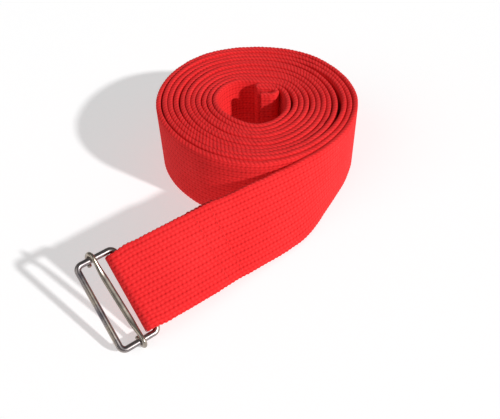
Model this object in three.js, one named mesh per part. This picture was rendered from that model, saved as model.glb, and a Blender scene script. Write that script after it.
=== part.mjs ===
// Gait belt: a webbing strap rolled on its edge, with a rectangular wire buckle
// and a sliding bar at the outer end.  Millimetres, +Z up.
// Frame: the roll stands on Z = 0, the strap leaves it towards -X, so the
// strap's free run and the buckle's side rails lie along X.
import * as THREE from 'three';
import { mergeVertices } from 'three/addons/utils/BufferGeometryUtils.js';

// ---------------------------------------------------------------- dimensions
const STRAP_W = 38;            // webbing width
const FOLD_W = 36.8;           // webbing width inside the buckle
const STRAP_T = 2.3;           // webbing thickness
const PLY_GAP = 0.3;           // gap kept between two plies that touch
const WIRE_D = 2.9;            // buckle frame wire
const FRAME_LONG = 40.4;       // frame, wire centre to wire centre, across the strap
const FRAME_SHORT = 17.7;      // frame, wire centre to wire centre, along the strap
const FRAME_CORNER_R = 2.5;    // bend radius of the wire's centreline
const FOLD_X = -108.6;         // outermost line of the webbing fold round the buckle
const REAR_BAR_X = -103.6;     // centre of the frame's rear bar, inside the fold
const LEAN = 34.3 * Math.PI / 180;   // lean of the strap's end from the ground
const HEM_BACK = 55;           // length of the ply folded back under the strap
const SEAM_AT = [52, 43.5];    // seams of that ply, from the fold
const THREAD_D = 0.7;          // sewing thread
const BAR_W = 2.9;             // slide bar's flattened middle, along the strap
const BAR_T = 1.5;             // slide bar's flattened middle, thickness
const EYE_D = 2.0;             // slide bar's round ends
const EYE_R = 2.7;             // centreline radius of the slide bar's end eyes
const BAR_X = -112.6;          // slide bar's place along the rails at rest
const EYE_LEAD = [2.2, 0.9];    // how far the upper and the lower eye curl forward
const BAR_RACK = 2.5 * Math.PI / 180;  // slide bar's small skew in the frame
// the whole belt's place relative to the roll's axis: the origin is under the
// middle of its bounding box
const ROLL_AT = [36.888, 9.983];

// Roll: radius of the strap's centreline about the roll's axis, every 45
// degrees, from the outer turn inwards.  The first is at ROLL_START degrees.
const ROLL_START = -36.3;
const ROLL_R = [
  49.4, 47.4, 46.3, 49.9, 51.0, 47.9, 46.9, 45.3, 46.4, 44.2, 43.2, 47.0,
  48.0, 45.1, 44.2, 42.6, 43.7, 41.2, 40.1, 44.0, 45.1, 42.3, 41.6, 39.8,
  38.8, 37.6, 36.8, 40.8, 42.0, 39.5, 39.0, 37.0, 35.9, 34.2, 33.7, 37.6,
  38.9, 36.6, 36.4, 34.2, 33.1, 31.3, 30.6, 34.4, 36.0, 34.0, 33.8, 31.5,
  30.3, 28.6, 27.5, 31.5, 33.4, 31.4, 31.2, 28.8, 27.6, 25.9, 24.4, 28.8,
  30.8, 28.8, 28.6, 26.1, 24.4, 22.9, 21.3, 25.8, 27.8, 26.1, 26.0, 23.4,
  21.5, 20.2, 18.2, 23.0, 25.1, 23.4, 23.4, 20.6, 18.8, 17.3, 15.0, 20.1,
  22.4, 20.8, 20.8, 17.6, 14.9];
// Inner end of the strap, in plan, in the frame turned by ROLL_START: it runs
// across the back of the eye and ends in a loose double fold.
const TAIL = [
  [13.9, 4.9], [11.3, 9.2], [7.4, 11.65], [3.6, 12.3], [0.6, 12.35],
  [-0.5, 11.95], [-0.85, 11.05], [-0.5, 10.15], [0.6, 9.75],
  [4.2, 9.45], [7.0, 8.95], [8.6, 8.15], [9.35, 6.65], [8.6, 5.15], [7.0, 4.4],
  [4.0, 4.35], [0.8, 4.35]];
const TAIL_SEAM = [4.6, 4.36];     // hem thread's place in that frame

// Free run of the strap: its bottom edge and its top edge every 8.2 mm, from
// the roll to the buckle.
const RUN_STEP = 8.19;
const RUN_BOTTOM = [
  [43.66, -21.90, 0.00], [39.82, -29.00, 0.00], [34.79, -35.44, 0.00],
  [28.19, -40.44, 0.00], [21.17, -44.81, 0.00], [13.68, -48.37, 0.02],
  [6.16, -51.88, 0.00], [-1.31, -55.31, 0.26], [-8.67, -58.85, 0.56],
  [-16.28, -61.85, 0.94], [-24.52, -63.60, 1.35], [-32.94, -64.32, 1.71],
  [-41.32, -64.67, 2.03], [-49.67, -64.89, 2.48], [-57.99, -64.94, 3.17],
  [-66.30, -65.48, 3.77], [-74.70, -66.28, 4.75], [-82.90, -66.79, 5.55],
  [-91.08, -67.33, 6.40], [-98.90, -67.48, 6.96], [-107.00, -67.48, 6.96]];
const RUN_TOP = [
  [43.82, -21.82, 38.00], [39.89, -28.82, 38.00], [34.64, -34.94, 38.00],
  [28.10, -39.77, 37.99], [20.75, -43.61, 37.98], [12.83, -46.22, 37.95],
  [4.78, -47.70, 37.74], [-3.34, -48.05, 37.50], [-11.38, -47.28, 36.65],
  [-19.29, -45.96, 35.32], [-27.26, -44.42, 34.04], [-35.28, -42.90, 33.01],
  [-43.36, -41.58, 32.14], [-51.48, -40.45, 31.53], [-59.63, -39.36, 31.22],
  [-67.80, -38.76, 30.75], [-75.84, -37.93, 30.02], [-84.04, -37.36, 29.55],
  [-92.22, -36.79, 29.00], [-98.90, -36.09, 28.37], [-107.00, -36.09, 28.37]];
const SPLIT_U = 5.4;           // station where the run leaves the roll

// ------------------------------------------------------------------ helpers
const V = (x, y, z) => new THREE.Vector3(x, y, z);

// closed geometry from rings of points: each ring joins the next, with flat
// fans at the two ends, or the last ring joins the first
function loft(rings, closed) {
  const m = rings[0].length, pos = [], index = [];
  for (const r of rings) for (const p of r) pos.push(p.x, p.y, p.z);
  const n = rings.length, last = closed ? n : n - 1;
  for (let i = 0; i < last; i++) {
    const a = i * m, b = ((i + 1) % n) * m;
    for (let j = 0; j < m; j++) {
      const k = (j + 1) % m;
      index.push(a + j, b + j, b + k, a + j, b + k, a + k);
    }
  }
  if (!closed) {
    for (let j = 1; j < m - 1; j++) {
      index.push(0, j, j + 1);
      const e = (n - 1) * m;
      index.push(e, e + j + 1, e + j);
    }
  }
  let vol = 0;
  const P = (i) => V(pos[3 * i], pos[3 * i + 1], pos[3 * i + 2]);
  for (let i = 0; i < index.length; i += 3) {
    vol += P(index[i]).dot(P(index[i + 1]).cross(P(index[i + 2])));
  }
  if (vol < 0) for (let i = 0; i < index.length; i += 3) {
    const s = index[i]; index[i] = index[i + 1]; index[i + 1] = s;
  }
  const g = new THREE.BufferGeometry();
  g.setAttribute('position', new THREE.Float32BufferAttribute(pos, 3));
  g.setIndex(index);
  g.computeVertexNormals();
  return g;
}

// flat strap along stations {b, t, n}: bottom edge, top edge, face normal
function ribbon(stations, thick = STRAP_T) {
  return loft(stations.map(({ b, t, n }) => {
    const h = n.clone().multiplyScalar(thick / 2);
    return [b.clone().sub(h), t.clone().sub(h), t.clone().add(h), b.clone().add(h)];
  }), false);
}

// round or oval section swept along points with one fixed side direction;
// w and t are numbers, or functions of the place along the points
function sweep(points, side, w, t, sides, closed) {
  const n = points.length;
  return loft(points.map((p, i) => {
    const a = points[closed ? (i + n - 1) % n : Math.max(0, i - 1)];
    const b = points[closed ? (i + 1) % n : Math.min(n - 1, i + 1)];
    const tan = b.clone().sub(a).normalize();
    const up = tan.clone().cross(side).normalize();
    const ring = [];
    const across = up.clone().cross(tan).normalize();
    const wi = typeof w === 'number' ? w : w(i / (n - 1));
    const ti = typeof t === 'number' ? t : t(i / (n - 1));
    for (let k = 0; k < sides; k++) {
      const f = 2 * Math.PI * (k + 0.5) / sides;
      ring.push(p.clone().addScaledVector(across, wi / 2 * Math.cos(f))
        .addScaledVector(up, ti / 2 * Math.sin(f)));
    }
    return ring;
  }), closed);
}

function catmull(list, u) {
  const n = list.length, i = Math.min(n - 2, Math.max(0, Math.floor(u))), f = u - i;
  const at = (k) => list[Math.min(n - 1, Math.max(0, k))];
  const p = [at(i - 1), at(i), at(i + 1), at(i + 2)];
  const one = (a, b, c, d) => 0.5 * (2 * b + (c - a) * f
    + (2 * a - 5 * b + 4 * c - d) * f * f + (3 * b - a - 3 * c + d) * f * f * f);
  if (typeof p[0] === 'number') return one(...p);
  return V(one(...p.map((q) => q[0])), one(...p.map((q) => q[1])), one(...p.map((q) => q[2])));
}

// ------------------------------------------------- the strap's free run
function runStation(u) {
  const b = catmull(RUN_BOTTOM, u), t = catmull(RUN_TOP, u), e = 0.05;
  const w = t.clone().sub(b);
  const mid = b.clone().add(t).multiplyScalar(0.5);
  const fix = w.normalize().multiplyScalar(STRAP_W / 2);
  b.copy(mid).sub(fix); t.copy(mid).add(fix);
  const u0 = Math.max(0, u - e), u1 = Math.min(RUN_BOTTOM.length - 1, u + e);
  const along = catmull(RUN_BOTTOM, u0).add(catmull(RUN_TOP, u0))
    .sub(catmull(RUN_BOTTOM, u1)).sub(catmull(RUN_TOP, u1)).normalize();
  const n = along.clone().cross(fix).normalize();   // outward and up
  // the lower edge stays on or above the ground
  const low = b.z - Math.abs(n.z) * STRAP_T / 2;
  if (low < 0) { b.z -= low; t.z -= low; }
  return { b, t, n, along };
}

// local axes of the buckle end
const L = V(1, 0, 0);                                    // towards the roll
const A = V(0, Math.cos(LEAN), Math.sin(LEAN));          // bottom edge to top edge
const N = V(0, -Math.sin(LEAN), Math.cos(LEAN));         // off the upper face
const END_U = RUN_BOTTOM.length - 1;
const endMid = catmull(RUN_BOTTOM, END_U).add(catmull(RUN_TOP, END_U)).multiplyScalar(0.5);
const INNER = WIRE_D / 2 + 0.4;                          // room round the rear bar
const FOLD_R = INNER + STRAP_T / 2;                      // fold's centreline radius
const foldMid = (x, n) => V(x, endMid.y, endMid.z).addScaledVector(N, n);
const edgeStation = (c, n, w = FOLD_W) => ({
  b: c.clone().addScaledVector(A, -w / 2), t: c.clone().addScaledVector(A, w / 2), n });

function leadStations() {
  const s = [];
  for (let u = SPLIT_U + 0.04; u < END_U - 0.9; u += 0.5) s.push(runStation(u));
  // straight to the fold, round the bar and back under
  const foldC = FOLD_X + STRAP_T / 2 + FOLD_R;
  s.push(edgeStation(foldMid(-104.4, 0), N.clone(), FOLD_W));
  for (let k = 0; k <= 6; k++) {
    const f = Math.PI * k / 6;
    const dir = L.clone().multiplyScalar(-Math.sin(f)).addScaledVector(N, Math.cos(f));
    s.push(edgeStation(foldMid(foldC, -FOLD_R).addScaledVector(dir, FOLD_R), dir));
  }
  // the ply folded back under: it closes up to the strap behind the bar
  s.push(edgeStation(foldMid(-101.6, -2 * FOLD_R), N.clone().negate()));
  const ply = STRAP_T + PLY_GAP;
  for (const [d, drop] of [[12, 4.9], [17, 3.7], [22, ply + 0.1], [28, ply], [34, ply],
    [40, ply], [46, ply], [51, ply], [HEM_BACK, ply]]) {
    const st = runStation((165 - d) / RUN_STEP);
    const off = st.n.clone().multiplyScalar(-drop);
    s.push({ b: st.b.clone().add(off), t: st.t.clone().add(off), n: st.n.clone().negate() });
  }
  return s;
}

// ------------------------------------------------- the roll
const rad = Math.PI / 180;
function polar(deg, r) {
  const a = (deg + ROLL_START) * rad;
  return V(r * Math.cos(a), r * Math.sin(a), 0);
}
function rollPath() {
  const p = [];
  for (let u = SPLIT_U; u > 1.3; u -= 0.6) {
    const st = runStation(u);
    p.push({ b: st.b, t: st.t, n: st.n });
  }
  const end = (ROLL_R.length - 1) * 45;
  for (let d = 0; d <= end; d += 9) {
    const c = polar(d, catmull(ROLL_R, d / 45));
    p.push({ c, n: c.clone().normalize() });
  }
  const turn = (q) => V(q[0], q[1], 0).applyAxisAngle(V(0, 0, 1), ROLL_START * rad);
  const tail = TAIL.map(turn);
  tail.forEach((c, i) => {
    const a = tail[Math.max(0, i - 1)], b = tail[Math.min(tail.length - 1, i + 1)];
    const t = b.clone().sub(a).normalize();
    p.push({ c, n: V(t.y, -t.x, 0) });
  });
  return p.map(({ b, t, c, n }) => (c
    ? { b: V(c.x, c.y, 0), t: V(c.x, c.y, STRAP_W), n } : { b, t, n }));
}

// ------------------------------------------------- buckle frame and slide bar
const barC = foldMid(REAR_BAR_X, -FOLD_R);               // rear bar's middle
function framePoints() {
  const hw = FRAME_LONG / 2, r = FRAME_CORNER_R, p = [];
  const x0 = -FRAME_SHORT, x1 = 0;
  const at = (x, a) => barC.clone().addScaledVector(L, x).addScaledVector(A, a);
  const corner = (cx, ca, from) => {
    for (let k = 0; k <= 4; k++) {
      const f = (from + 22.5 * k) * rad;
      p.push(at(cx + r * Math.cos(f), ca + r * Math.sin(f)));
    }
  };
  corner(x1 - r, hw - r, 0);
  corner(x0 + r, hw - r, 90);
  corner(x0 + r, -hw + r, 180);
  corner(x1 - r, -hw + r, 270);
  return p;
}
function slidePoints() {
  const hw = FRAME_LONG / 2;
  const keys = [[0, 0.9], [7, 0.9], [12.6, 1.0], [15.2, 1.45], [17.2, 2.05], [18.8, 2.55]];
  const half = keys.map(([a, n]) => [a, n, 0]);
  for (let k = 0; k <= 9; k++) {
    const f = (90 - 26 * k) * rad, turn = k / 9;
    half.push([hw + EYE_R * Math.cos(f), EYE_R * Math.sin(f), turn * turn * (3 - 2 * turn)]);
  }
  const both = [...half.slice(1).reverse().map(([a, n, c]) => [-a, n, c * EYE_LEAD[1]]),
    ...half.map(([a, n, c]) => [a, n, c * EYE_LEAD[0]])];
  return both.map(([a, n, c]) => V(0, 0, 0)
    .addScaledVector(A, a * Math.cos(BAR_RACK))
    .addScaledVector(L, -Math.max(-19, Math.min(19, a)) * Math.sin(BAR_RACK) - c)
    .addScaledVector(N, n).add(barC).addScaledVector(L, BAR_X - REAR_BAR_X));
}
// the bar is flattened between its eyes
function flat(x) {
  const e = Math.min(1, Math.max(0, (Math.abs(2 * x - 1) - 0.16) / 0.22));
  return e * e * (3 - 2 * e);
}

// ------------------------------------------------- sewing thread
// one row of lockstitch across the strap: the thread lies on the face and
// rises and falls a little from stitch to stitch
function threadRow(place, dir, out, length) {
  const n = 18, pts = [];
  for (let i = 0; i <= n; i++) {
    pts.push(place.clone().addScaledVector(dir, length * (i / n - 0.5))
      .addScaledVector(out, THREAD_D / 2 + PLY_GAP + (i % 2 ? 0.18 : 0.0)));
  }
  const curve = new THREE.CatmullRomCurve3(pts);
  const shape = new THREE.Shape();
  for (let k = 0; k < 6; k++) {
    const f = 2 * Math.PI * k / 6;
    const q = [THREAD_D / 2 * Math.cos(f), THREAD_D / 2 * Math.sin(f)];
    if (k) shape.lineTo(...q); else shape.moveTo(...q);
  }
  shape.closePath();
  const g = new THREE.ExtrudeGeometry(shape, { steps: 2 * n, bevelEnabled: false, extrudePath: curve });
  g.deleteAttribute('normal'); g.deleteAttribute('uv');
  const m = mergeVertices(g, 1e-4);
  m.computeVertexNormals();
  return m;
}

// ------------------------------------------------- the assembly
const fabric = () => new THREE.MeshStandardMaterial({ color: 0xdf2f30, roughness: 0.92, metalness: 0.0 });
const thread = () => new THREE.MeshStandardMaterial({ color: 0xd8262a, roughness: 0.8, metalness: 0.0 });
const steel = () => new THREE.MeshStandardMaterial({ color: 0x8f8884, roughness: 0.3, metalness: 1.0 });
const plated = () => new THREE.MeshStandardMaterial({ color: 0x9c8c78, roughness: 0.35, metalness: 1.0 });

const belt = new THREE.Group();
const add = (name, geometry, material) => {
  const mesh = new THREE.Mesh(geometry, material);
  mesh.name = name;
  belt.add(mesh);
};

add('webbing_roll', ribbon(rollPath()), fabric());
add('webbing_lead', ribbon(leadStations()), fabric());

SEAM_AT.forEach((d, i) => {
  const st = runStation((165 - d) / RUN_STEP);
  const mid = st.b.clone().add(st.t).multiplyScalar(0.5);
  const dir = st.t.clone().sub(st.b).normalize();
  const under = st.n.clone().negate();
  add(`seam_${i + 1}_needle_thread`,
    threadRow(mid.clone().addScaledVector(st.n, STRAP_T / 2), dir, st.n, STRAP_W - 3), thread());
  add(`seam_${i + 1}_bobbin_thread`,
    threadRow(mid.clone().addScaledVector(under, STRAP_T * 1.5 + PLY_GAP), dir, under, STRAP_W - 3), thread());
});
{
  const c = V(TAIL_SEAM[0], TAIL_SEAM[1], 0).applyAxisAngle(V(0, 0, 1), ROLL_START * rad);
  const out = V(0, -1, 0).applyAxisAngle(V(0, 0, 1), ROLL_START * rad);
  c.z = STRAP_W / 2;
  add('tail_hem_thread', threadRow(c.clone().addScaledVector(out, STRAP_T / 2), V(0, 0, 1), out, STRAP_W - 3), thread());
}

add('buckle_frame', sweep(framePoints(), N, WIRE_D, WIRE_D, 12, true), steel());
{
  const side = L.clone().multiplyScalar(Math.cos(BAR_RACK)).addScaledVector(A, Math.sin(BAR_RACK));
  add('slide_bar', sweep(slidePoints(), side, (x) => BAR_W + (EYE_D - BAR_W) * flat(x),
    (x) => BAR_T + (EYE_D - BAR_T) * flat(x), 12, false), plated());
}

belt.position.set(ROLL_AT[0], ROLL_AT[1], 0);
export default belt;
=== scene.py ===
import bpy, math
import numpy as np
from mathutils import Vector, Matrix


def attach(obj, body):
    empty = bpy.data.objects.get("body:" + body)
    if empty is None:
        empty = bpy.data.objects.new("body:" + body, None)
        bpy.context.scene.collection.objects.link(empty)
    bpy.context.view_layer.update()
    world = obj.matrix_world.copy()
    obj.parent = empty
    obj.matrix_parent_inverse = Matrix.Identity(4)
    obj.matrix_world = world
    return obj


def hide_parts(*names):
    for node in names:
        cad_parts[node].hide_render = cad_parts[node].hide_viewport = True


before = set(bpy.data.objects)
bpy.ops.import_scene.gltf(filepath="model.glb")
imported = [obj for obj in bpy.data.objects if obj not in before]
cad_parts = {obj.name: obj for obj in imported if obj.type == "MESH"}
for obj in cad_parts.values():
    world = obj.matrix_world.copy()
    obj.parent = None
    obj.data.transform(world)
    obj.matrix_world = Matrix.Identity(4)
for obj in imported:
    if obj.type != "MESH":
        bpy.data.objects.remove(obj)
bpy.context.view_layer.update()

MM = 0.001

# ------------------------------------------------------------------ dimensions, mm
STRAP_W, STRAP_T = 38.0, 2.5
FOLD_W = 36.8
CAD_T = 2.3
WIRE_D = 2.9
FRAME_LONG, FRAME_SHORT, CORNER_R = 40.4, 17.7, 2.5
FOLD_X, REAR_BAR_X = -108.6, -103.6
LEAN = math.radians(34.3)
HEM_BACK = 55.0
SEAM_AT = (52.0, 43.5)
EYE_R = 2.7
BAR_W, BAR_T, EYE_D, EYE_LEAD = 2.9, 1.5, 2.0, (2.2, 0.9)
BAR_X, BAR_RACK = -112.6, math.radians(2.5)
ROLL_AT = np.array([36.888, 9.983, 0.0])
ROLL_START = -36.3
ROLL_R = [
  49.4, 47.4, 46.3, 49.9, 51.0, 47.9, 46.9, 45.3, 46.4, 44.2, 43.2, 47.0,
  48.0, 45.1, 44.2, 42.6, 43.7, 41.2, 40.1, 44.0, 45.1, 42.3, 41.6, 39.8,
  38.8, 37.6, 36.8, 40.8, 42.0, 39.5, 39.0, 37.0, 35.9, 34.2, 33.7, 37.6,
  38.9, 36.6, 36.4, 34.2, 33.1, 31.3, 30.6, 34.4, 36.0, 34.0, 33.8, 31.5,
  30.3, 28.6, 27.5, 31.5, 33.4, 31.4, 31.2, 28.8, 27.6, 25.9, 24.4, 28.8,
  30.8, 28.8, 28.6, 26.1, 24.4, 22.9, 21.3, 25.8, 27.8, 26.1, 26.0, 23.4,
  21.5, 20.2, 18.2, 23.0, 25.1, 23.4, 23.4, 20.6, 18.8, 17.3, 15.0, 20.1,
  22.4, 20.8, 20.8, 17.6, 14.9]
TAIL = [
  [13.9, 4.9], [11.3, 9.2], [7.4, 11.65], [3.6, 12.3], [0.6, 12.35],
  [-0.5, 11.95], [-0.85, 11.05], [-0.5, 10.15], [0.6, 9.75],
  [4.2, 9.45], [7.0, 8.95], [8.6, 8.15], [9.35, 6.65], [8.6, 5.15], [7.0, 4.4],
  [4.0, 4.35], [0.8, 4.35]]
RUN_STEP = 8.19
SPLIT_U = 5.4
RUN_BOTTOM = [
  [43.66, -21.90, 0.00], [39.82, -29.00, 0.00], [34.79, -35.44, 0.00],
  [28.19, -40.44, 0.00], [21.17, -44.81, 0.00], [13.68, -48.37, 0.02],
  [6.16, -51.88, 0.00], [-1.31, -55.31, 0.26], [-8.67, -58.85, 0.56],
  [-16.28, -61.85, 0.94], [-24.52, -63.60, 1.35], [-32.94, -64.32, 1.71],
  [-41.32, -64.67, 2.03], [-49.67, -64.89, 2.48], [-57.99, -64.94, 3.17],
  [-66.30, -65.48, 3.77], [-74.70, -66.28, 4.75], [-82.90, -66.79, 5.55],
  [-91.08, -67.33, 6.40], [-98.90, -67.48, 6.96], [-107.00, -67.48, 6.96]]
RUN_TOP = [
  [43.82, -21.82, 38.00], [39.89, -28.82, 38.00], [34.64, -34.94, 38.00],
  [28.10, -39.77, 37.99], [20.75, -43.61, 37.98], [12.83, -46.22, 37.95],
  [4.78, -47.70, 37.74], [-3.34, -48.05, 37.50], [-11.38, -47.28, 36.65],
  [-19.29, -45.96, 35.32], [-27.26, -44.42, 34.04], [-35.28, -42.90, 33.01],
  [-43.36, -41.58, 32.14], [-51.48, -40.45, 31.53], [-59.63, -39.36, 31.22],
  [-67.80, -38.76, 30.75], [-75.84, -37.93, 30.02], [-84.04, -37.36, 29.55],
  [-92.22, -36.79, 29.00], [-98.90, -36.09, 28.37], [-107.00, -36.09, 28.37]]

# ------------------------------------------------------------------ the strap's path
def catmull(lst, u):
    n = len(lst); i = int(min(n - 2, max(0, math.floor(u)))); f = u - i
    at = lambda k: np.asarray(lst[min(n - 1, max(0, k))], float)
    a, b, c, d = at(i - 1), at(i), at(i + 1), at(i + 2)
    return 0.5 * (2 * b + (c - a) * f + (2 * a - 5 * b + 4 * c - d) * f * f
                  + (3 * b - a - 3 * c + d) * f ** 3)

def unit(v):
    return v / np.linalg.norm(v)

def run_station(u):
    b, t, e = catmull(RUN_BOTTOM, u), catmull(RUN_TOP, u), 0.05
    mid = (b + t) / 2; w = unit(t - b)
    b, t = mid - w * STRAP_W / 2, mid + w * STRAP_W / 2
    u0, u1 = max(0, u - e), min(len(RUN_BOTTOM) - 1, u + e)
    along = unit(catmull(RUN_BOTTOM, u0) + catmull(RUN_TOP, u0)
                 - catmull(RUN_BOTTOM, u1) - catmull(RUN_TOP, u1))
    n = unit(np.cross(along, w))
    low = b[2] - abs(n[2]) * STRAP_T / 2
    if low < 0:
        b[2] -= low; t[2] -= low
    return b, t, n

L = np.array([1.0, 0, 0])
A = np.array([0, math.cos(LEAN), math.sin(LEAN)])
N = np.array([0, -math.sin(LEAN), math.cos(LEAN)])
END_U = len(RUN_BOTTOM) - 1
end_mid = (catmull(RUN_BOTTOM, END_U) + catmull(RUN_TOP, END_U)) / 2
FOLD_R = WIRE_D / 2 + 0.4 + CAD_T / 2
def fold_mid(x, n):
    return np.array([x, end_mid[1], end_mid[2]]) + N * n
def edge_station(c, half=FOLD_W / 2):
    return c - A * half, c + A * half

def path():
    """(bottom edge, top edge) along the strap, from the sewn-down end under the
    free run, round the buckle, up the run, round the roll, to the inner hem."""
    s = []
    ply = CAD_T + 0.3
    for d, drop in [(HEM_BACK, ply), (51, ply), (46, ply), (42.6, ply), (40.4, ply), (34, ply), (28, ply),
                    (22, ply + 0.1), (17, 3.7), (12, 4.9)]:
        b, t, n = run_station((165 - d) / RUN_STEP)
        w = unit(t - b) * (-0.3 if d < 42 and d > 14 else 0.0)
        s.append((b - n * drop + w, t - n * drop + w))
    s.append(edge_station(fold_mid(-101.6, -2 * FOLD_R)))
    fold_c = FOLD_X + CAD_T / 2 + FOLD_R
    for k in range(12, -1, -1):
        f = math.pi * k / 12
        s.append(edge_station(fold_mid(fold_c, -FOLD_R) + (-L * math.sin(f) + N * math.cos(f)) * FOLD_R))
    s.append(edge_station(fold_mid(-104.2, 0)))
    u = END_U - 0.9
    while u > 1.3:
        b, t, n = run_station(u); s.append((b, t)); u -= 0.5
    end = (len(ROLL_R) - 1) * 45
    d = 0
    while d <= end:
        r = float(catmull(ROLL_R, d / 45)); a = math.radians(d + ROLL_START)
        c = np.array([r * math.cos(a), r * math.sin(a), 0.0])
        s.append((c, c + np.array([0, 0, STRAP_W]))); d += 9
    a = math.radians(ROLL_START); ca, sa = math.cos(a), math.sin(a)
    for x, y in TAIL:
        c = np.array([x * ca - y * sa, x * sa + y * ca, 0.0])
        s.append((c, c + np.array([0, 0, STRAP_W])))
    return np.array([np.concatenate(p) for p in s])

def resample(P, step):
    """smooth curve through the stations, at even steps of its middle line"""
    mid = (P[:, :3] + P[:, 3:]) / 2
    t = np.concatenate([[0], np.cumsum(np.linalg.norm(np.diff(mid, axis=0), axis=1))])
    m = np.empty_like(P)
    h = np.diff(t)[:, None]; d = np.diff(P, axis=0) / h
    m[1:-1] = (d[:-1] * h[1:] + d[1:] * h[:-1]) / (h[1:] + h[:-1])
    m[0], m[-1] = d[0], d[-1]
    n = int(round(t[-1] / step)) ; q = np.linspace(0, t[-1], n + 1)
    i = np.clip(np.searchsorted(t, q, side="right") - 1, 0, len(t) - 2)
    f = ((q - t[i]) / (t[i + 1] - t[i]))[:, None]; hh = (t[i + 1] - t[i])[:, None]
    Q = ((2 * f ** 3 - 3 * f ** 2 + 1) * P[i] + (f ** 3 - 2 * f ** 2 + f) * hh * m[i]
         + (-2 * f ** 3 + 3 * f ** 2) * P[i + 1] + (f ** 3 - f ** 2) * hh * m[i + 1])
    return q, Q

STEP = 1.05                   # half a weft rib
RIB = 2.1
stations = path()
S, Q = resample(stations, STEP)
length_mm = float(S[-1])
B, T = Q[:, :3].copy(), Q[:, 3:].copy()
MID = (B + T) / 2
TAN = np.gradient(MID, axis=0); TAN /= np.linalg.norm(TAN, axis=1)[:, None]
W = T - B; HALF = np.linalg.norm(W, axis=1) / 2; W /= (2 * HALF)[:, None]
NRM = np.cross(TAN, W); NRM /= np.linalg.norm(NRM, axis=1)[:, None]

def s_of(point):
    return float(S[np.argmin(np.linalg.norm(MID - np.asarray(point), axis=1))])

# where things lie along the strap
s_fold = s_of(fold_mid(FOLD_X, -FOLD_R))
i_up = [int(np.argmin(np.linalg.norm(MID - (run_station((165 - d) / RUN_STEP)[0]
        + run_station((165 - d) / RUN_STEP)[1]) / 2, axis=1))) for d in SEAM_AT]
s_up = [float(S[i]) for i in i_up]
s_under = [s_fold - (u - s_fold) for u in s_up]
s_roll = s_of(np.array([49.3 * math.cos(math.radians(ROLL_START)), 49.3 * math.sin(math.radians(ROLL_START)), 19]))

rng = np.random.RandomState(7)
def smooth_noise(s, wave, seed):
    r = np.random.RandomState(seed)
    k = int(length_mm / wave) + 4
    v = r.uniform(-1, 1, k); x = s / wave; i = x.astype(int); f = x - i; f = f * f * (3 - 2 * f)
    return v[i] * (1 - f) + v[i + 1] * f

# ring across the strap: (across, through, perimeter coordinate, kind); the
# webbing's faces are flat, its two woven edges are rounded
FACE_N = 8
ring = []
E = 0.62
for k in range(FACE_N + 1):                                   # outer face, bottom to top
    a = -1 + 2 * k / FACE_N
    ring.append((a, 1.0, 0))
for k, (da, c) in enumerate([(0.62, 0.86), (0.93, 0.48), (1.0, 0.0), (0.93, -0.48), (0.62, -0.86)]):
    ring.append((1, c, da))
for k in range(FACE_N + 1):
    a = 1 - 2 * k / FACE_N
    ring.append((a, -1.0, 0))
for k, (da, c) in enumerate([(0.62, -0.86), (0.93, -0.48), (1.0, 0.0), (0.93, 0.48), (0.62, 0.86)]):
    ring.append((-1, c, da))
NR = len(ring)
edge_len = 3.2
def perimeter():
    out, p = [], 0.0
    face = STRAP_W
    for k in range(FACE_N + 1): out.append(face * k / FACE_N)
    for k in range(5): out.append(face + edge_len * (k + 1) / 6)
    for k in range(FACE_N + 1): out.append(face + edge_len + face * k / FACE_N)
    for k in range(5): out.append(2 * face + edge_len + edge_len * (k + 1) / 6)
    return out, 2 * face + 2 * edge_len
PER, PER_ALL = perimeter()

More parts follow.
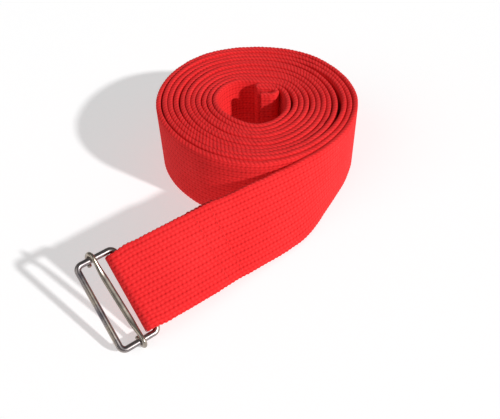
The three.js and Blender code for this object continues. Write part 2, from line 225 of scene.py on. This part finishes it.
def strap_mesh():
    n = len(S)
    par = np.arange(n) % 2                                    # crest or hollow of the weft
    amp = np.where(par == 0, 0.06, -0.06)
    wob = 0.14 * smooth_noise(S, 4.4, 3) + 0.12 * smooth_noise(S, 2.2, 4)
    lift = 0.42 + 0.46 * smooth_noise(S, 78, 11) + 0.12 * smooth_noise(S, 19, 12)
    wander = 0.20 * smooth_noise(S, 24, 21)
    on_roll = np.clip((S - s_roll + 40) / 40, 0, 1)
    lift = lift * on_roll
    half_t = STRAP_T / 2 + 0 * S
    # each seam pulls the webbing in where it was sewn down
    dip = np.zeros(n)
    for s0 in s_up + s_under:
        dip += 0.20 * np.exp(-((S - s0) / 1.1) ** 2)
    V = np.empty((n, NR, 3))
    for j, (a, c, da) in enumerate(ring):
        side = 1 if a > 0 else -1
        inner = (HALF - E)
        if da == 0:
            off_w = a * inner
            off_n = c * (half_t + amp - (dip if c > 0 else 0 * dip))
        else:
            off_w = side * (inner + da * E + da * (amp * 3.0 + wob))
            off_n = c * (half_t + amp * 0.8 - 0.5 * dip)
        V[:, j] = MID + W * off_w[:, None] + NRM * off_n[:, None]
    up = np.clip((np.array([r[0] for r in ring]) + 1) / 2, 0, 1) ** 2
    V += NRM[:, None, :] * (wander * on_roll)[:, None, None] * up[None, :, None]
    V[:, :, 2] += lift[:, None]
    # keep every point of the strap just above the floor
    low = V[:, :, 2].min()
    V[:, :, 2] = np.maximum(V[:, :, 2], 0.02)
    V = (V + ROLL_AT) * MM
    verts = V.reshape(-1, 3)
    faces, uvs = [], []
    for i in range(n - 1):
        for j in range(NR):
            k = (j + 1) % NR
            faces.append((i * NR + j, (i + 1) * NR + j, (i + 1) * NR + k, i * NR + k))
            p0, p1 = PER[j], (PER[k] if k else PER_ALL)
            uvs.append(((S[i], p0), (S[i + 1], p0), (S[i + 1], p1), (S[i], p1)))
    caps = [list(range(NR)), [(n - 1) * NR + j for j in range(NR)][::-1]]
    me = bpy.data.meshes.new("webbing_strap")
    me.from_pydata([tuple(v) for v in verts], [], faces + caps)
    uv = me.uv_layers.new(name="weave")
    flat = np.empty((len(me.loops), 2))
    flat[:len(uvs) * 4] = np.array(uvs).reshape(-1, 2) / 10.0
    k = len(uvs) * 4
    for cap, i in zip(caps, (0, n - 1)):
        for v in cap:
            j = v % NR
            flat[k] = ((S[i] + 0.3 * ring[j][1]) / 10.0, PER[j] / 10.0); k += 1
    uv.data.foreach_set("uv", flat.ravel())
    for p in me.polygons: p.use_smooth = True
    me.update()
    ob = bpy.data.objects.new("webbing_strap", me)
    bpy.context.collection.objects.link(ob)
    return ob

def fix_normals(me):
    import bmesh
    bm = bmesh.new(); bm.from_mesh(me)
    bmesh.ops.recalc_face_normals(bm, faces=bm.faces[:])
    bm.to_mesh(me); bm.free()

# ------------------------------------------------------------------ materials
class Net:
    def __init__(self, name):
        self.m = bpy.data.materials.new(name); self.m.use_nodes = True
        self.t = self.m.node_tree; self.t.nodes.clear()
        self.out = self.t.nodes.new("ShaderNodeOutputMaterial")
        self.p = self.t.nodes.new("ShaderNodeBsdfPrincipled")
        self.t.links.new(self.p.outputs[0], self.out.inputs[0])
    def node(self, kind, **kw):
        n = self.t.nodes.new(kind)
        for k, v in kw.items(): setattr(n, k, v)
        return n
    def put(self, sock, v):
        if isinstance(v, bpy.types.NodeSocket): self.t.links.new(v, sock)
        else: sock.default_value = v
    def math(self, op, a, b=None, c=None):
        n = self.node("ShaderNodeMath", operation=op)
        self.put(n.inputs[0], a)
        if b is not None: self.put(n.inputs[1], b)
        if c is not None: self.put(n.inputs[2], c)
        return n.outputs[0]
    def mix(self, f, a, b):
        n = self.node("ShaderNodeMix", data_type="RGBA")
        self.put(n.inputs["Factor"], f)
        ins = [s for s in n.inputs if s.type == "RGBA"]
        self.put(ins[0], a); self.put(ins[1], b)
        return [s for s in n.outputs if s.type == "RGBA"][0]
    def ramp(self, f, stops):
        n = self.node("ShaderNodeValToRGB")
        self.put(n.inputs[0], f)
        el = n.color_ramp.elements
        while len(el) < len(stops): el.new(0.5)
        for e, (pos, col) in zip(el, stops):
            e.position = pos; e.color = tuple(col) + ((1,) if len(col) == 3 else ())
        return n.outputs[0]
    def noise(self, scale, detail=2.0, rough=0.5, vec=None):
        n = self.node("ShaderNodeTexNoise")
        n.inputs["Scale"].default_value = scale
        n.inputs["Detail"].default_value = detail
        n.inputs["Roughness"].default_value = rough
        if vec is not None: self.t.links.new(vec, n.inputs["Vector"])
        return n.outputs["Fac"]
    def set(self, **kw):
        for k, v in kw.items():
            self.put(self.p.inputs[k.replace("_", " ")], v)
    def bump(self, h, strength, distance, normal=None):
        n = self.node("ShaderNodeBump")
        n.inputs["Strength"].default_value = strength
        n.inputs["Distance"].default_value = distance
        self.t.links.new(h, n.inputs["Height"])
        if normal is not None: self.t.links.new(normal, n.inputs["Normal"])
        return n.outputs[0]

def webbing_material():
    k = Net("red_cotton_webbing")
    uv = k.node("ShaderNodeUVMap", uv_map="weave")
    sep = k.node("ShaderNodeSeparateXYZ"); k.t.links.new(uv.outputs[0], sep.inputs[0])
    tc = k.node("ShaderNodeTexCoord"); obj = tc.outputs["Object"]
    soft = k.noise(420, 3, 0.6, obj)                        # each yarn wanders a little
    s = k.math("MULTIPLY_ADD", sep.outputs[0], 10.0, k.math("MULTIPLY", k.math("SUBTRACT", soft, 0.5), 0.55))
    soft2 = k.noise(350, 3, 0.6, obj)
    p = k.math("MULTIPLY_ADD", sep.outputs[1], 10.0, k.math("MULTIPLY", k.math("SUBTRACT", soft2, 0.5), 0.45))
    # perimeter position -> 0..38 on either face, edge mask on the two woven edges
    pm = k.math("FLOORED_MODULO", p, STRAP_W + edge_len)
    edge = k.math("GREATER_THAN", pm, STRAP_W)
    # warp rows: pairs of yarns, a deep line between pairs
    row = k.math("SINE", k.math("MULTIPLY", pm, math.pi / 1.8))
    crown = k.math("ABSOLUTE", row)
    pair = k.math("ABSOLUTE", k.math("SINE", k.math("MULTIPLY", pm, math.pi / 3.6)))
    par = k.math("MULTIPLY", k.math("FLOOR", k.math("DIVIDE", pm, 1.8)), math.pi)
    weft = k.math("MULTIPLY_ADD", k.math("SINE", k.math("ADD", k.math("MULTIPLY", s, 2 * math.pi / RIB), par)), 0.5, 0.5)
    rib = k.math("MULTIPLY_ADD", k.math("COSINE", k.math("MULTIPLY", s, 2 * math.pi / RIB)), 0.5, 0.5)
    # pinholes on the deep lines, one each rib; sunk in the bump, and darkened in the colour below as painted shade
    line = k.math("POWER", k.math("SUBTRACT", 1.0, pair), 2.0)
    hole = k.math("MULTIPLY", line, k.math("POWER", k.math("SUBTRACT", 1.0, rib), 2.4))
    cloth = k.math("ADD", k.math("MULTIPLY", weft, 0.30), k.math("MULTIPLY", rib, 0.26))
    h_face = k.math("MULTIPLY", k.math("ADD", cloth, 0.44), k.math("MULTIPLY_ADD", crown, 0.6, 0.4))
    h_face = k.math("MULTIPLY", h_face, k.math("SUBTRACT", 1.0, k.math("MULTIPLY", line, 0.22)))
    h_face = k.math("SUBTRACT", h_face, k.math("MULTIPLY", hole, 0.5))
    slant = k.math("ADD", k.math("MULTIPLY", s, math.pi / RIB), k.math("MULTIPLY", pm, 1.1))
    h_edge = k.math("MULTIPLY_ADD", k.math("ABSOLUTE", k.math("SINE", slant)), 0.80, 0.12)
    h = k.math("ADD", k.math("MULTIPLY", h_face, k.math("SUBTRACT", 1.0, edge)), k.math("MULTIPLY", h_edge, edge))
    lint = k.noise(2600, 3, 0.7, obj)
    lint2 = k.noise(900, 4, 0.65, obj)
    hh = k.math("ADD", h, k.math("MULTIPLY", k.math("SUBTRACT", lint, 0.5), 0.5))
    hh = k.math("ADD", hh, k.math("MULTIPLY", k.math("SUBTRACT", lint2, 0.5), 0.5))
    wash = k.noise(38, 3, 0.5, obj)
    # colour follows the weave height h: painted shade in the grooves, pinholes and edge slants, lighter crowns;
    # lint2 and wash add random colour variation
    painted_shade_and_tone = k.math("ADD", k.math("MULTIPLY", h, 0.62), k.math("MULTIPLY", lint2, 0.35))
    painted_shade_and_tone = k.math("ADD", painted_shade_and_tone, k.math("MULTIPLY", k.math("SUBTRACT", wash, 0.5), 0.35))
    col = k.ramp(painted_shade_and_tone, [(0.0, (0.56, 0.008, 0.010)), (0.2, (0.70, 0.013, 0.015)),
                        (0.45, (0.82, 0.022, 0.024)), (0.75, (0.91, 0.036, 0.038)), (1.0, (0.97, 0.062, 0.062))])
    rough = k.math("MULTIPLY_ADD", lint2, 0.2, 0.78)
    k.set(Base_Color=col, Roughness=rough)
    k.p.inputs["Specular IOR Level"].default_value = 0.10
    k.p.inputs["Sheen Weight"].default_value = 0.08
    k.p.inputs["Sheen Roughness"].default_value = 0.6
    k.p.inputs["Sheen Tint"].default_value = (1.0, 0.35, 0.33, 1)
    k.t.links.new(k.bump(hh, 0.6, 0.00042), k.p.inputs["Normal"])
    return k.m

def thread_material():
    k = Net("red_sewing_thread")
    tc = k.node("ShaderNodeTexCoord"); obj = tc.outputs["Object"]
    n = k.noise(1800, 3, 0.6, obj)
    col = k.ramp(n, [(0.25, (0.70, 0.014, 0.016)), (0.75, (0.92, 0.040, 0.042))])
    k.set(Base_Color=col, Roughness=0.9)
    k.p.inputs["Specular IOR Level"].default_value = 0.12
    k.p.inputs["Sheen Weight"].default_value = 0.15
    w = k.node("ShaderNodeTexWave", wave_type="BANDS", bands_direction="DIAGONAL")
    w.inputs["Scale"].default_value = 900; k.t.links.new(obj, w.inputs["Vector"])
    k.t.links.new(k.bump(w.outputs["Fac"], 0.5, 0.0001), k.p.inputs["Normal"])
    return k.m

def metal_material(name, light, dark, warm):
    k = Net(name)
    tc = k.node("ShaderNodeTexCoord"); obj = tc.outputs["Object"]
    big = k.noise(130, 3, 0.55, obj)
    fine = k.noise(1500, 4, 0.6, obj)
    stain = k.noise(260, 5, 0.65, obj)
    col = k.ramp(big, [(0.30, dark), (0.52, light), (0.75, warm)])
    spots = k.math("GREATER_THAN", stain, 0.66)
    col = k.mix(k.math("MULTIPLY", spots, 0.35), col, tuple(c * 0.45 for c in dark) + (1,))
    rough = k.math("ADD", k.math("MULTIPLY_ADD", stain, 0.24, 0.20), k.math("MULTIPLY", k.math("SUBTRACT", fine, 0.5), 0.08))
    k.set(Base_Color=col, Metallic=1.0, Roughness=rough)
    h = k.math("ADD", k.math("MULTIPLY", big, 1.0), k.math("MULTIPLY", fine, 0.15))
    k.t.links.new(k.bump(h, 0.25, 0.00012), k.p.inputs["Normal"])
    return k.m

M_WEB = webbing_material()
M_THREAD = thread_material()
M_FRAME = metal_material("nickel_plated_wire", (0.34, 0.30, 0.29), (0.17, 0.155, 0.175), (0.50, 0.42, 0.31))
M_BAR = metal_material("nickel_plated_bar", (0.44, 0.385, 0.325), (0.27, 0.235, 0.205), (0.58, 0.47, 0.33))

# ------------------------------------------------------------------ the strap
strap = strap_mesh()
fix_normals(strap.data)
strap.data.materials.append(M_WEB)
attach(strap, "strap")
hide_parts("webbing_roll", "webbing_lead")

# ------------------------------------------------------------------ rods and threads
def rod(name, pts, side, w, t, n_side, closed, mat, taper=None):
    """oval section swept along points (mm, before the roll's offset)"""
    pts = np.asarray(pts, float); n = len(pts); V = []
    for i in range(n):
        a = pts[(i - 1) % n] if closed else pts[max(0, i - 1)]
        b = pts[(i + 1) % n] if closed else pts[min(n - 1, i + 1)]
        tan = unit(b - a)
        sd = side if not callable(side) else side(i)
        sd = unit(sd - tan * np.dot(sd, tan))
        up = unit(np.cross(tan, sd))
        k = taper(i / (n - 1)) if taper else (1, 1)
        for j in range(n_side):
            f = 2 * math.pi * (j + 0.5) / n_side
            V.append(pts[i] + sd * (w / 2 * k[0] * math.cos(f)) + up * (t / 2 * k[1] * math.sin(f)))
    V = (np.array(V) + ROLL_AT) * MM
    F = []
    for i in range(n if closed else n - 1):
        for j in range(n_side):
            k2 = (j + 1) % n_side; q = (i + 1) % n
            F.append((i * n_side + j, q * n_side + j, q * n_side + k2, i * n_side + k2))
    if not closed:
        F.append(tuple(range(n_side))); F.append(tuple((n - 1) * n_side + j for j in range(n_side))[::-1])
    return V, F

def make(name, parts, mat):
    V, F, o = [], [], 0
    for v, f in parts:
        V += [tuple(x) for x in v]; F += [tuple(i + o for i in q) for q in f]; o += len(v)
    me = bpy.data.meshes.new(name); me.from_pydata(V, [], F)
    fix_normals(me)
    for p in me.polygons: p.use_smooth = True
    me.materials.append(mat); me.update()
    ob = bpy.data.objects.new(name, me); bpy.context.collection.objects.link(ob)
    return ob

# buckle frame
bar_c = fold_mid(REAR_BAR_X, -FOLD_R)
def frame_points():
    hw, r, pts = FRAME_LONG / 2, CORNER_R, []
    def at(x, a): return bar_c + L * x + A * a
    def corner(cx, ca, start):
        for k in range(11):
            f = math.radians(start + 9 * k)
            pts.append(at(cx + r * math.cos(f), ca + r * math.sin(f)))
    def straight(x0, a0, x1, a1, n):
        for k in range(1, n):
            pts.append(at(x0 + (x1 - x0) * k / n, a0 + (a1 - a0) * k / n))
    x1, x0 = 0.0, -FRAME_SHORT
    corner(x1 - r, hw - r, 0); straight(x1 - r, hw, x0 + r, hw, 6)
    corner(x0 + r, hw - r, 90); straight(x0, hw - r, x0, -hw + r, 14)
    corner(x0 + r, -hw + r, 180); straight(x0 + r, -hw, x1 - r, -hw, 6)
    corner(x1 - r, -hw + r, 270); straight(x1, -hw + r, x1, hw - r, 14)
    return pts
v, f = rod("frame", frame_points(), N, WIRE_D, WIRE_D, 24, True, M_FRAME)
wire = make("buckle_wire", [(v, f)], M_FRAME)
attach(wire, "frame"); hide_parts("buckle_frame")

# slide bar: flattened between its eyes
def slide_points():
    hw = FRAME_LONG / 2
    keys = [(0, 0.9), (7, 0.9), (12.6, 1.0), (15.2, 1.45), (17.2, 2.05), (18.8, 2.55)]
    half = []
    for a in np.linspace(0, 18.8, 26):
        u = np.interp(a, [k[0] for k in keys], range(len(keys)))
        half.append((a, float(catmull([k[1] for k in keys], u)), 0.0))
    for k in range(0, 30):
        t = k / 29.0; f = math.radians(90 - 234.0 * t)
        half.append((hw + EYE_R * math.cos(f), EYE_R * math.sin(f), t * t * (3 - 2 * t)))
    both = [(-a, n, c * EYE_LEAD[1]) for a, n, c in half[1:][::-1]] + [(a, n, c * EYE_LEAD[0]) for a, n, c in half]
    out = []
    for a, n, c in both:
        out.append(A * (a * math.cos(BAR_RACK)) - L * (max(-19, min(19, a)) * math.sin(BAR_RACK) + c)
                   + N * n + bar_c + L * (BAR_X - REAR_BAR_X))
    out = np.array(out)
    for _ in range(3):                                        # ease the joins of straight and eye
        out[1:-1] = 0.25 * out[:-2] + 0.5 * out[1:-1] + 0.25 * out[2:]
    return out
sp = slide_points()
bar_side = L * math.cos(BAR_RACK) + A * math.sin(BAR_RACK)
def bar_taper(x):
    e = min(1.0, max(0.0, (abs(2 * x - 1) - 0.22) / 0.24)); e = e * e * (3 - 2 * e)
    tip = min(1.0, max(0.0, (abs(2 * x - 1) - 0.985) / 0.015))
    k = 1 - 0.4 * tip * tip
    return (BAR_W + (EYE_D - BAR_W) * e) * k, (BAR_T + (EYE_D - BAR_T) * e) * k
v, f = rod("bar", sp, bar_side, 1.0, 1.0, 24, False, M_BAR, taper=bar_taper)
bar = make("sliding_bar", [(v, f)], M_BAR)
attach(bar, "bar"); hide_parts("slide_bar")

# seams: each stitch is a short thread that sinks at both ends
def stitches(s0, face, count=15, length=1.9, dia=0.62):
    i = int(np.argmin(np.abs(S - s0)))
    half = HALF[i] - 2.4; parts = []
    for k in range(count):
        c = -half + 2 * half * (k + 0.5) / count
        pts = []
        for q in np.linspace(-1, 1, 9):
            lift = STRAP_T / 2 - 0.42 + 0.34 * (1 - q * q) - 0.05
            wig = 0.10 * math.sin(k * 2.1)
            pts.append(MID[i] + W[i] * (c + q * length / 2) + TAN[i] * (wig + 0.05 * q) + NRM[i] * face * lift)
        parts.append(rod("st", pts, TAN[i], dia, dia, 8, False, M_THREAD, taper=lambda x: (1 - 0.5 * abs(2 * x - 1) ** 3,) * 2))
    return parts
lift_i = 0
for name, s0, nodes in (("seam_2_stitches", s_up[1], "seam_2_needle_thread"), ("seam_1_stitches", s_up[0], "seam_1_needle_thread"),
                        ("seam_2_under_stitches", s_under[1], "seam_2_bobbin_thread"), ("seam_1_under_stitches", s_under[0], "seam_1_bobbin_thread")):
    ob = make(name, stitches(s0, 1), M_THREAD)
    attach(ob, "strap"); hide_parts(nodes)

# hem at the inner end: a row of stitches down the front ply and a loose strand
s_hem = length_mm - 3.8
def hem_parts():
    i = int(np.argmin(np.abs(S - s_hem)))
    parts = stitches(s_hem, 1, count=15)
    up = np.array([0, 0, 0.3])
    base = MID[i] + W[i] * 17.6 + NRM[i] * 1.3 + up
    loose = []
    for q in np.linspace(0, 1, 16):
        loose.append(base + TAN[i] * (6.5 * q - 1.0) * 1.0 + NRM[i] * (0.3 + 2.4 * q * q)
                     + W[i] * (1.0 * math.sin(2.6 * q)))
    parts.append(rod("loose", loose, np.array([0, 0, 1.0]), 0.28, 0.28, 6, False, M_THREAD))
    return parts
hem = make("hem_stitches", hem_parts(), M_THREAD)
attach(hem, "strap"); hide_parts("tail_hem_thread")

# ------------------------------------------------------------------ stage, light, camera
def floor():
    me = bpy.data.meshes.new("floor")
    s = 9.0
    me.from_pydata([(-s, -s, -0.0002), (s, -s, -0.0002), (s, s, -0.0002), (-s, s, -0.0002)], [], [(0, 1, 2, 3)])
    ob = bpy.data.objects.new("floor", me); bpy.context.collection.objects.link(ob)
    k = Net("pale_floor")
    k.set(Base_Color=(0.70, 0.70, 0.70, 1), Roughness=0.9)
    k.p.inputs["Emission Color"].default_value = (1, 1, 1, 1)
    k.p.inputs["Emission Strength"].default_value = 0.46
    me.materials.append(k.m)
    return ob
floor()

world = bpy.data.worlds.new("studio"); bpy.context.scene.world = world
world.use_nodes = True
bg = world.node_tree.nodes["Background"]
bg.inputs[0].default_value = (1, 1, 1, 1); bg.inputs[1].default_value = 0.15

def sun(name, az, el, strength, angle):
    """light that comes from azimuth az (degrees from +X, counter-clockwise) and elevation el"""
    d = Vector((math.cos(math.radians(az)) * math.cos(math.radians(el)),
                math.sin(math.radians(az)) * math.cos(math.radians(el)), math.sin(math.radians(el))))
    la = bpy.data.lights.new(name, "SUN"); la.energy = strength; la.angle = math.radians(angle)
    ob = bpy.data.objects.new(name, la); bpy.context.collection.objects.link(ob)
    ob.rotation_mode = "QUATERNION"; ob.rotation_quaternion = d.to_track_quat("Z", "Y")
    ob.location = d * 2
    return ob
sun("key", -67, 31, 3.1, 3.0)
sun("side", 178, 38, 0.55, 50)

cam_d = bpy.data.cameras.new("camera"); cam_d.sensor_fit = "HORIZONTAL"; cam_d.sensor_width = 36.0
cam_d.lens = 46.78; cam_d.clip_start = 0.01; cam_d.clip_end = 20
cam = bpy.data.objects.new("camera", cam_d); bpy.context.collection.objects.link(cam)
rt = Vector((0.8061102105030659, -0.5915929858540295, -0.014285223520012392))
up = Vector((0.44225353561948266, 0.5862282208947482, 0.6787844158925905))
fw = Vector((0.3931896981798604, 0.5534927389902169, -0.7341986441899344))
m = Matrix(((rt.x, up.x, -fw.x, -0.122044117), (rt.y, up.y, -fw.y, -0.204297185),
            (rt.z, up.z, -fw.z, 0.24354251522), (0, 0, 0, 1)))
cam.matrix_world = m
bpy.context.scene.camera = cam
bpy.context.scene.view_settings.view_transform = "Standard"
